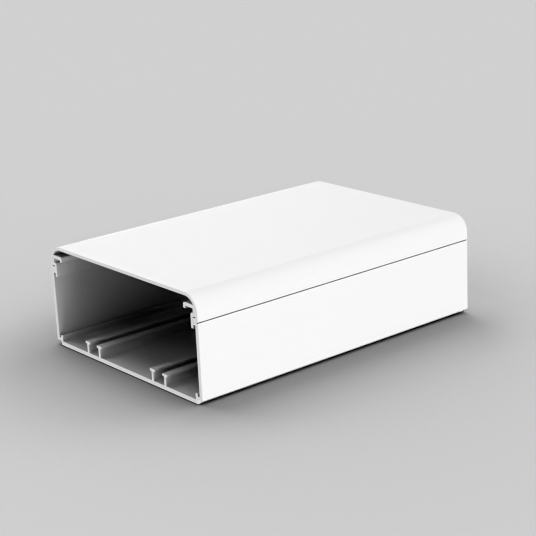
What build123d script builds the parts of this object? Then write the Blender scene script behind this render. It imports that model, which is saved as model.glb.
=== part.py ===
from build123d import *
import os

# Surface trunking that covers cords and cables: a base channel and the lid that snaps onto it.
# X runs across the section, Y along the length and Z up. The channel lies on its back on Z = 0, with
# the origin under the middle of its floor. Sizes are in millimetres.

# Overall sizes
length = 200.0              # both pieces, cut square at the ends
width = 138.0               # over the walls, and over the lid's skirts, which are flush with them
height = 60.0               # from the underside of the floor to the top of the lid

# Base channel: floor, walls and the shadow gap under each wall
floor_thickness = 2.3
wall_thickness = 2.25
foot_rise = 2.5             # underside of a wall above the surface that the floor lies on
foot_inset = 4.0            # floor's edge, in from the wall's outer face
foot_thickness = 1.8        # web that carries a wall out from the floor's edge
kerb_thickness = 1.7        # low rib along the floor's edge
kerb_rise = 3.6             # kerb's top above the floor

# Base channel: T rails on the floor, two on each side
rail_spacing = 62.1         # from the middle of one pair to the middle of the other
rail_pitch = 11.3           # between the two rails of a pair
rail_rise = 6.8             # rail's top above the floor
rail_stem_thickness = 1.6
rail_head_width = 4.4
rail_head_thickness = 1.5

# Base channel: snap head along the top of each wall
shoulder_thickness = 1.4    # web from the wall's top, which the lid's foot stands on
apron_thickness = 1.7       # upright plate at the back of the snap groove
apron_drop = 2.1            # apron's free edge below the shoulder
ledge_thickness = 1.9       # web that closes the snap groove above the lid's bead
riser_thickness = 1.9       # upright plate behind the lid's skirt
riser_rise = 4.4            # hook's top above the ledge
arm_thickness = 1.9         # hook's level arm
arm_reach = 9.8             # from the riser's outer face to the hook's tip
lip_thickness = 1.6         # hook's turned-down tip
lip_drop = 1.3              # lip's free edge below the arm

# Lid
lid_height = 14.9           # from the skirts' feet to the top
lid_thickness = 1.75
lid_radius = 10.0           # outside of the rounded shoulders
bead_height = 2.5           # bead along the foot of each skirt
bead_reach = 2.3            # bead's tip, in from the skirt's inner face

# Fits and roundings
snap_fit = 0.05             # between the lid and the snap head
bead_play = 0.6             # between the lid's bead and the ledge above it
seam_gap = 0.55             # shadow line between a skirt and the wall below it
seam_depth = 1.2            # how far in the shadow line reaches
seam_radius = 0.15          # outer edges beside the shadow line
edge_radius = 0.3           # the other corners of both sections
hook_radius = 1.1           # top of the hook's tip
apron_radius = 1.5          # top of the apron

# Faces that lie across the section, from the middle outwards
half_width = width / 2
wall_inner = half_width - wall_thickness
floor_edge = half_width - foot_inset
kerb_inner = floor_edge - kerb_thickness
skirt_inner = half_width - lid_thickness
bead_tip = skirt_inner - bead_reach
apron_outer = bead_tip - snap_fit
apron_inner = apron_outer - apron_thickness
riser_outer = skirt_inner - snap_fit
riser_inner = riser_outer - riser_thickness
hook_tip = riser_outer - arm_reach
seam_inner = half_width - seam_depth

# Levels, from the ground up
seam_height = height - lid_height
foot_top = foot_rise + foot_thickness
kerb_top = floor_thickness + kerb_rise
rail_top = floor_thickness + rail_rise
shoulder_bottom = seam_height - shoulder_thickness
bead_top = seam_height + bead_height
ledge_bottom = bead_top + bead_play
ledge_top = ledge_bottom + ledge_thickness
arm_top = ledge_top + riser_rise
arm_bottom = arm_top - arm_thickness
lid_underside = height - lid_thickness

# Large roundings, each limited by the wall that it runs out on
shoulder_radius = min(lid_radius, lid_height - bead_height - 2 * edge_radius)
apron_top_radius = min(apron_radius, riser_inner - apron_inner - 2 * edge_radius)


def limb(x_in, x_out, z_low, z_high):
    # One straight limb of a half section, given by its four faces.
    middle = Pos((x_in + x_out) / 2, (z_low + z_high) / 2)
    return middle * Rectangle(x_out - x_in, z_high - z_low)


def corner(half, x, z):
    # The corner of a half section nearest to a point.
    return half.vertices().sort_by_distance((x, z, 0))[0]


def rounded(half, own_radius):
    # Rounds every corner off the middle line: those listed as x, z, radius, and the rest alike.
    own = [corner(half, x, z) for x, z, radius in own_radius]
    rest = [v for v in half.vertices() if v.X > edge_radius and v not in own]
    half = fillet(rest, edge_radius)
    for x, z, radius in own_radius:
        half = fillet(corner(half, x, z), radius)
    return half


def rail(x):
    stem = limb(x - rail_stem_thickness / 2, x + rail_stem_thickness / 2, 0, rail_top)
    head = limb(x - rail_head_width / 2, x + rail_head_width / 2, rail_top - rail_head_thickness, rail_top)
    return stem + head


def snap_head():
    shoulder = limb(apron_inner, half_width, shoulder_bottom, seam_height)
    apron = limb(apron_inner, apron_outer, shoulder_bottom - apron_drop, ledge_top)
    ledge = limb(apron_inner, riser_outer, ledge_bottom, ledge_top)
    riser = limb(riser_inner, riser_outer, ledge_bottom, arm_top)
    arm = limb(hook_tip, riser_outer, arm_bottom, arm_top)
    lip = limb(hook_tip, hook_tip + lip_thickness, arm_bottom - lip_drop, arm_top)
    return shoulder + apron + ledge + riser + arm + lip


def taken_by_lid():
    # Everything above the ledge that lies outside the lid's inner face, with the fit taken off.
    inner_top = lid_underside - snap_fit
    room = limb(0, riser_outer, 0, inner_top)
    room = fillet(corner(room, riser_outer, inner_top), shoulder_radius - lid_thickness - snap_fit)
    return limb(0, half_width, ledge_bottom, height) - room


def base_half():
    floor = limb(0, floor_edge, 0, floor_thickness)
    kerb = limb(kerb_inner, floor_edge, 0, kerb_top)
    foot = limb(kerb_inner, half_width, foot_rise, foot_top)
    wall = limb(wall_inner, half_width, foot_rise, seam_height)
    half = floor + kerb + foot + wall + snap_head()
    for side in (-1, 1):
        half += rail(rail_spacing / 2 + side * rail_pitch / 2)
    own_radius = [
        (hook_tip, arm_top, hook_radius),
        (apron_inner, ledge_top, apron_top_radius),
        (half_width, seam_height, seam_radius),
    ]
    half = rounded(half, own_radius)
    return half - taken_by_lid()


def lid_half():
    outside = limb(0, half_width, seam_height, height)
    inside = limb(0, skirt_inner, seam_height, lid_underside)
    bead = limb(bead_tip, half_width, seam_height, bead_top)
    shadow_line = limb(seam_inner, half_width, seam_height, seam_height + seam_gap)
    own_radius = [
        (half_width, height, shoulder_radius),
        (skirt_inner, lid_underside, shoulder_radius - lid_thickness),
        (half_width, seam_height + seam_gap, seam_radius),
        (seam_inner, seam_height + seam_gap, seam_radius),
        (seam_inner, seam_height, seam_radius),
    ]
    return rounded(outside - inside + bead - shadow_line, own_radius)


def extrusion(half):
    # The whole section, drawn out along the length.
    section = half + mirror(half, about=Plane.YZ)
    return extrude(Plane.XZ.offset(-length / 2) * section, amount=length)


os.makedirs("parts", exist_ok=True)
export_step(extrusion(base_half()), "parts/base_channel.step")
export_step(extrusion(lid_half()), "parts/lid.step")
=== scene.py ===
import math
import bpy
import bmesh
from mathutils import Matrix, Vector


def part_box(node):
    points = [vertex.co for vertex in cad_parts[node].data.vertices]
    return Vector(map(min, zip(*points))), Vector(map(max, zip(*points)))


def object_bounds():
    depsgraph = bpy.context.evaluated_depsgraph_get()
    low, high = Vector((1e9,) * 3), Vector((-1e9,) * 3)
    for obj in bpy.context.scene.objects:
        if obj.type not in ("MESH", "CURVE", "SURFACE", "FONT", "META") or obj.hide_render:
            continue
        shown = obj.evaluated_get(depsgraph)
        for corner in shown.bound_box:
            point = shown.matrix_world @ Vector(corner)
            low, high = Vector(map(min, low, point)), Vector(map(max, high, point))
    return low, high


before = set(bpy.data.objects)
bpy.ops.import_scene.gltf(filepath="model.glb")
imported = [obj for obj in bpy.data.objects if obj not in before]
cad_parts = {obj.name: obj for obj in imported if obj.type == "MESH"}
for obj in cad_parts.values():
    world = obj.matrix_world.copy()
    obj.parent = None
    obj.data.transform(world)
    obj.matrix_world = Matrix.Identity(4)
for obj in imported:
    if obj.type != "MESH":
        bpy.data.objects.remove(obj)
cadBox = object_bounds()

scene = bpy.context.scene
print("frame loaded:", sorted(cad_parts))

# camera, as the photograph was taken
cameraSet = {
    "eye": (0.6486, -0.5278, 0.2969),
    "target": (0.0, 0.0043, 0.0359),
    "roll": -2.655,      # degrees, right side down
    "lens": 100.86,      # mm
    "sensor": 36.0,      # mm wide
    "filter": 1.2,       # pixels, as crisp as the photograph
}


def placeCamera(spec):
    data = bpy.data.cameras.new("photoCamera")
    data.lens = spec["lens"]
    data.sensor_width = spec["sensor"]
    camera = bpy.data.objects.new("photoCamera", data)
    eye = Vector(spec["eye"])
    look = (Vector(spec["target"]) - eye).to_track_quat("-Z", "Y").to_matrix().to_4x4()
    roll = Matrix.Rotation(math.radians(spec["roll"]), 4, "Z")
    camera.matrix_world = Matrix.Translation(eye) @ look @ roll
    scene.collection.objects.link(camera)
    scene.camera = camera
    scene.cycles.filter_width = spec["filter"]


placeCamera(cameraSet)
print("camera placed")


# small helpers for node trees
def addNode(tree, kind, **settings):
    node = tree.nodes.new(kind)
    for name, value in settings.items():
        setattr(node, name, value)
    return node


def feed(tree, socket, value):
    if hasattr(value, "is_output"):
        tree.links.new(value, socket)
    elif value is not None:
        socket.default_value = value


def mathOf(tree, operation, first, second=None, third=None):
    node = addNode(tree, "ShaderNodeMath", operation=operation)
    for socket, value in zip(node.inputs, (first, second, third)):
        feed(tree, socket, value)
    return node.outputs[0]


def rangeOf(tree, value, low, high, toLow, toHigh, ramp="SMOOTHSTEP"):
    node = addNode(tree, "ShaderNodeMapRange", interpolation_type=ramp)
    for socket, part in zip(node.inputs, (value, low, high, toLow, toHigh)):
        feed(tree, socket, part)
    return node.outputs[0]


def stretchOf(tree, x, y, z):
    node = addNode(tree, "ShaderNodeCombineXYZ")
    for socket, value in zip(node.inputs, (x, y, z)):
        feed(tree, socket, value)
    return node.outputs[0]


def noiseOf(tree, place, stretch, detail, rough):
    grid = addNode(tree, "ShaderNodeVectorMath", operation="MULTIPLY")
    feed(tree, grid.inputs[0], place)
    feed(tree, grid.inputs[1], stretch)
    noise = addNode(tree, "ShaderNodeTexNoise")
    feed(tree, noise.inputs["Vector"], grid.outputs[0])
    feed(tree, noise.inputs["Scale"], 1.0)
    feed(tree, noise.inputs["Detail"], detail)
    feed(tree, noise.inputs["Roughness"], rough)
    return noise.outputs[0]


def mixColour(tree, factor, first, second):
    node = addNode(tree, "ShaderNodeMix", data_type="RGBA")
    feed(tree, node.inputs["Factor"], factor)
    for label, colour in (("A", first), ("B", second)):
        feed(tree, node.inputs[label], colour if hasattr(colour, "is_output") else (*colour, 1.0))
    return node.outputs["Result"]


def bumpOf(tree, height, depth, normal=None):
    node = addNode(tree, "ShaderNodeBump")
    feed(tree, node.inputs["Strength"], 1.0)
    feed(tree, node.inputs["Distance"], depth)
    feed(tree, node.inputs["Height"], height)
    feed(tree, node.inputs["Normal"], normal)
    return node.outputs["Normal"]


def newGroup(name, inputs, outputs):
    group = bpy.data.node_groups.new(name, "ShaderNodeTree")
    group.interface.new_socket("Place", in_out="INPUT", socket_type="NodeSocketVector")
    for label in inputs:
        group.interface.new_socket(label, in_out="INPUT", socket_type="NodeSocketFloat")
    for label in outputs:
        group.interface.new_socket(label, in_out="OUTPUT", socket_type="NodeSocketFloat")
    return group, addNode(group, "NodeGroupInput").outputs, addNode(group, "NodeGroupOutput").inputs


# streaks that the extruder's die draws along the length
dieLineSet = {
    "run": 2.5,                  # per metre along the length, against hundreds across it
    "shows": (0.42, 0.78),       # noise at which a streak starts to show, and at which it is full
    "tint": 0.5,                 # share of the deep tone in a full streak
    "noise": (4.0, 0.6),         # detail and roughness, here and below
}


def makeDieLines(spec):
    group, given, put = newGroup("dieLines", ("Per Metre",), ("Streak", "Tint"))
    across = given["Per Metre"]
    stretch = stretchOf(group, across, spec["run"], across)
    streak = noiseOf(group, given["Place"], stretch, *spec["noise"])
    feed(group, put["Streak"], streak)
    feed(group, put["Tint"], rangeOf(group, streak, *spec["shows"], 0.0, spec["tint"]))
    return group


# orange peel of plastic that cooled in the sizing die
grainSet = {
    "noise": (2.0, 0.5),
}


def makeSatinGrain(spec):
    group, given, put = newGroup("satinGrain", ("Per Metre",), ("Grain",))
    fine = given["Per Metre"]
    stretch = stretchOf(group, fine, fine, fine)
    feed(group, put["Grain"], noiseOf(group, given["Place"], stretch, *spec["noise"]))
    return group


# sawn ends: where the cut is, the arcs that the blade leaves on it, and the rubbed rim beside it
sawCut = {
    "bladeX": 0.16,              # blade's centre in the section, m
    "bladeZ": -0.11,
    "pitch": 0.0007,             # between two arcs
    "wander": 0.0006,            # how far an arc leaves its circle
    "wanderScale": 90.0,         # per metre
    "wanderNoise": (2.0, 0.5),
    "skin": 0.00003,             # depth of the cut's own finish
    "rim": 0.0007,               # width of the rubbed rim
    "chipScale": 1400.0,         # per metre
    "chipNoise": (3.0, 0.6),
    "chipShows": (0.42, 0.62),
}


def makeSawnEnd(spec):
    group, given, put = newGroup("sawnEnd", ("Half Length",), ("Cut", "Marks", "Rim"))
    place = given["Place"]
    split = addNode(group, "ShaderNodeSeparateXYZ")
    feed(group, split.inputs[0], place)
    fromMiddle = mathOf(group, "ABSOLUTE", split.outputs["Y"])
    depth = mathOf(group, "SUBTRACT", given["Half Length"], fromMiddle)
    feed(group, put["Cut"], mathOf(group, "LESS_THAN", depth, spec["skin"]))

    across = mathOf(group, "SUBTRACT", split.outputs["X"], spec["bladeX"])
    up = mathOf(group, "SUBTRACT", split.outputs["Z"], spec["bladeZ"])
    squares = mathOf(group, "MULTIPLY_ADD", across, across, mathOf(group, "MULTIPLY", up, up))
    waver = noiseOf(group, place, (spec["wanderScale"],) * 3, *spec["wanderNoise"])
    radius = mathOf(group, "MULTIPLY_ADD", waver, spec["wander"], mathOf(group, "SQRT", squares))
    turn = mathOf(group, "MULTIPLY", radius, 2.0 * math.pi / spec["pitch"])
    feed(group, put["Marks"], mathOf(group, "MULTIPLY_ADD", mathOf(group, "SINE", turn), 0.5, 0.5))

    band = rangeOf(group, depth, 0.0, spec["rim"], 1.0, 0.0)
    chips = noiseOf(group, place, (spec["chipScale"],) * 3, *spec["chipNoise"])
    chips = rangeOf(group, chips, *spec["chipShows"], 0.0, 1.0)
    feed(group, put["Rim"], mathOf(group, "MULTIPLY", band, chips))
    return group


# faint rubs from stacking and handling, with the dullness that they leave
rubSet = {
    "patchScale": (28.0, 17.0, 28.0),      # per metre
    "patchNoise": (3.0, 0.55),
    "patchShows": (0.35, 0.7),
    "hairScale": (950.0, 70.0, 950.0),
    "hairNoise": (3.0, 0.65),
    "hairShows": (0.62, 0.74),
}


def makeRubMarks(spec):
    group, given, put = newGroup("rubMarks", ("Amount",), ("Rub", "Patch"))
    patch = noiseOf(group, given["Place"], spec["patchScale"], *spec["patchNoise"])
    patch = rangeOf(group, patch, *spec["patchShows"], 0.0, 1.0)
    hairs = noiseOf(group, given["Place"], spec["hairScale"], *spec["hairNoise"])
    hairs = rangeOf(group, hairs, *spec["hairShows"], 0.0, given["Amount"])
    feed(group, put["Patch"], patch)
    feed(group, put["Rub"], mathOf(group, "MULTIPLY", hairs, patch))
    return group


effects = {
    "dieLines": makeDieLines(dieLineSet),
    "satinGrain": makeSatinGrain(grainSet),
    "sawnEnd": makeSawnEnd(sawCut),
    "rubMarks": makeRubMarks(rubSet),
}
print("shared effects:", sorted(effects))


def placeEffect(tree, name, place, label, value):
    node = addNode(tree, "ShaderNodeGroup", node_tree=effects[name])
    feed(tree, node.inputs["Place"], place)
    feed(tree, node.inputs[label], value)
    return node.outputs


# white PVC, one finish for each extrusion
channelPvc = {
    "pale": (0.872, 0.872, 0.872),
    "deep": (0.848, 0.848, 0.848),   # streaks and rubs
    "sawn": (0.81, 0.81, 0.81),      # bare cut
    "gloss": (0.55, 0.64),           # roughness of clean and of rubbed plastic
    "sawnRough": 0.62,
    "dieLines": 620.0,               # per metre of section
    "rub": 0.5,
}
lidPvc = {
    "pale": (0.874, 0.874, 0.874),
    "deep": (0.852, 0.852, 0.852),
    "sawn": (0.81, 0.81, 0.81),
    "gloss": (0.56, 0.64),
    "sawnRough": 0.62,
    "dieLines": 480.0,
    "rub": 0.8,
}
# what both finishes have in common
pvcSet = {
    "ior": 1.53,
    "grain": 2600.0,             # per metre
    "arcTint": 0.5,              # deep tone in the blade's arcs
    "rimTint": 0.6,              # bare cut's tone on the rubbed rim
    "patchDull": 0.55,           # rubbed plastic's dullness in a patch
    "streakDull": 0.35,          # and in a streak
    "streakDepth": 0.000005,     # m
    "grainDepth": 0.000003,
    "arcDepth": 0.00003,
}


def makePvc(name, spec, shared, halfLength):
    material = bpy.data.materials.new(name)
    material.use_nodes = True
    tree = material.node_tree
    bsdf = tree.nodes["Principled BSDF"]
    place = addNode(tree, "ShaderNodeTexCoord").outputs["Object"]
    lines = placeEffect(tree, "dieLines", place, "Per Metre", spec["dieLines"])
    grain = placeEffect(tree, "satinGrain", place, "Per Metre", shared["grain"])["Grain"]
    rubs = placeEffect(tree, "rubMarks", place, "Amount", spec["rub"])
    ends = placeEffect(tree, "sawnEnd", place, "Half Length", halfLength)

    skinTint = mathOf(tree, "MAXIMUM", lines["Tint"], rubs["Rub"])
    skin = mixColour(tree, skinTint, spec["pale"], spec["deep"])
    rimTint = mathOf(tree, "MULTIPLY", ends["Rim"], shared["rimTint"])
    worn = mixColour(tree, rimTint, skin, spec["sawn"])
    arcTint = mathOf(tree, "MULTIPLY", ends["Marks"], shared["arcTint"])
    cut = mixColour(tree, arcTint, spec["sawn"], spec["deep"])
    feed(tree, bsdf.inputs["Base Color"], mixColour(tree, ends["Cut"], worn, cut))

    dull = mathOf(tree, "MULTIPLY", rubs["Patch"], shared["patchDull"])
    dull = mathOf(tree, "MAXIMUM", dull, rubs["Rub"])
    dull = mathOf(tree, "MULTIPLY_ADD", lines["Streak"], shared["streakDull"], dull)
    rough = rangeOf(tree, dull, 0.0, 1.0, *spec["gloss"])
    bare = mathOf(tree, "MAXIMUM", ends["Cut"], ends["Rim"])
    feed(tree, bsdf.inputs["Roughness"], rangeOf(tree, bare, 0.0, 1.0, rough, spec["sawnRough"]))

    arcs = mathOf(tree, "MULTIPLY", ends["Marks"], ends["Cut"])
    normal = bumpOf(tree, lines["Streak"], shared["streakDepth"])
    normal = bumpOf(tree, grain, shared["grainDepth"], normal)
    feed(tree, bsdf.inputs["Normal"], bumpOf(tree, arcs, shared["arcDepth"], normal))
    bsdf.inputs["IOR"].default_value = shared["ior"]
    return material


def dressNode(name, material):
    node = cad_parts[name]
    node.data.materials.clear()
    node.data.materials.append(material)


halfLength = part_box("lid")[1][1]
dressNode("base_channel", makePvc("channelPvc", channelPvc, pvcSet, halfLength))
dressNode("lid", makePvc("lidPvc", lidPvc, pvcSet, halfLength))
print("plastic on:", sorted(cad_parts))

# pale ground, which takes the part's shadow and stops no lamp under it; its colour also holds painted
# shade round and under the part
groundSet = {
    "half": 20.0,                  # m, far past the camera's view
    "grey": 0.670,
    "reach": 1.0,                  # m, of the painted soft shade round the part
    "open": 0.85,                  # openness to the sky at which that shade is full
    "keep": 0.79,                  # tone that it leaves
    "contact": ((0.005, 0.3), (0.0017, 4.5)),      # reach and strength of painted shade, under it and at its foot
    "feelers": 16,                 # rays that feel for the part, for each of these shades
}


def layPlane(name, halfX, halfY, level):
    mesh = bpy.data.meshes.new(name)
    bm = bmesh.new()
    bmesh.ops.create_grid(bm, x_segments=1, y_segments=1, size=1.0)
    bmesh.ops.scale(bm, verts=bm.verts, vec=(halfX, halfY, 1.0))
    bmesh.ops.translate(bm, verts=bm.verts, vec=(0.0, 0.0, level))
    bm.to_mesh(mesh)
    bm.free()
    plane = bpy.data.objects.new(name, mesh)
    scene.collection.objects.link(plane)
    return plane


def openness(tree, reach, feelers):
    node = addNode(tree, "ShaderNodeAmbientOcclusion", samples=feelers)
    node.inputs["Distance"].default_value = reach
    return node.outputs["AO"]


def paveGround(spec):
    ground = layPlane("ground", spec["half"], spec["half"], 0.0)
    ground.visible_shadow = False
    material = bpy.data.materials.new("groundGrey")
    material.use_nodes = True
    tree = material.node_tree
    bsdf = tree.nodes["Principled BSDF"]
    # painted shade: the ground's colour darkens where the part hides the sky, and more at the part's
    # foot
    sky = openness(tree, spec["reach"], spec["feelers"])
    shade = rangeOf(tree, sky, spec["open"], 1.0, spec["keep"], 1.0, "LINEAR")
    for reach, strength in spec["contact"]:
        contact = mathOf(tree, "POWER", openness(tree, reach, spec["feelers"]), strength)
        shade = mathOf(tree, "MULTIPLY", shade, contact)
    feed(tree, bsdf.inputs["Base Color"], mathOf(tree, "MULTIPLY", shade, spec["grey"]))
    bsdf.inputs["Roughness"].default_value = 1.0      # dead matt
    bsdf.inputs["Specular IOR Level"].default_value = 0.0
    ground.data.materials.append(material)


# unseen flag under the part, which keeps the low lamps off its underside
flagSet = {
    "fromSide": 0.0012,            # m, in from the walls
    "fromEnd": 0.0022,             # and from the cut ends
    "drop": 0.0002,                # below the ground
}


def layFlag(spec):
    halfX = cadBox[1][0] - spec["fromSide"]
    halfY = cadBox[1][1] - spec["fromEnd"]
    flag = layPlane("flag", halfX, halfY, -spec["drop"])
    for ray in ("camera", "diffuse", "glossy", "transmission"):
        setattr(flag, "visible_" + ray, False)


paveGround(groundSet)
layFlag(flagSet)
print("ground laid")

# soft lamps; bearing 0 faces the front end and 90 the right wall, in degrees
# the low ones stand for light that the pale ground throws back, so bounces are off
studioLamps = {
    "backRight": {"bearing": 155.0, "height": 58.5, "spread": 76.0, "power": 1.793},
    "backLeft": {"bearing": 261.0, "height": 59.0, "spread": 42.0, "power": 1.369},
    "frontRight": {"bearing": 58.0, "height": 51.5, "spread": 32.0, "power": 0.229},
    "rightBounce": {"bearing": 100.0, "height": -19.0, "spread": 38.0, "power": 2.250},
    "cornerBounce": {"bearing": 76.0, "height": -13.5, "spread": 53.0, "power": 0.625},
    "frontBounce": {"bearing": 334.0, "height": -29.5, "spread": 50.0, "power": 2.453},
    "leftBounce": {"bearing": 246.0, "height": -3.2, "spread": 44.0, "power": 1.300},
}


def hangLamp(name, spec):
    lamp = bpy.data.lights.new(name, "SUN")
    lamp.energy = spec["power"]
    lamp.angle = math.radians(spec["spread"])
    lamp.cycles.use_multiple_importance_sampling = False      # a ray by chance would end on the ground
    bearing, height = math.radians(spec["bearing"]), math.radians(spec["height"])
    level = math.cos(height)
    towards = Vector((math.sin(bearing) * level, -math.cos(bearing) * level, math.sin(height)))
    holder = bpy.data.objects.new(name, lamp)
    holder.matrix_world = towards.to_track_quat("Z", "Y").to_matrix().to_4x4()
    scene.collection.objects.link(holder)


for lampName, lampSpec in studioLamps.items():
    hangLamp(lampName, lampSpec)
scene.cycles.diffuse_bounces = 0
print("lamps hung:", sorted(studioLamps))

# backdrop above the horizon, the ground's own tone to the eye and to reflections, and no light
backdropSet = {
    "grey": 0.63,
}


def hangBackdrop(spec):
    world = bpy.data.worlds.new("backdrop")
    scene.world = world
    world.cycles.sampling_method = "NONE"      # reflections find it by themselves
    world.use_nodes = True
    tree = world.node_tree
    paths = addNode(tree, "ShaderNodeLightPath").outputs
    seen = mathOf(tree, "MAXIMUM", paths["Is Camera Ray"], paths["Is Glossy Ray"])
    seen = mathOf(tree, "MAXIMUM", seen, paths["Is Transmission Ray"])
    background = tree.nodes["Background"]
    grey = spec["grey"]
    background.inputs["Color"].default_value = (grey, grey, grey, 1.0)
    feed(tree, background.inputs["Strength"], seen)


hangBackdrop(backdropSet)
scene.view_settings.view_transform = "Standard"
print("backdrop hung")
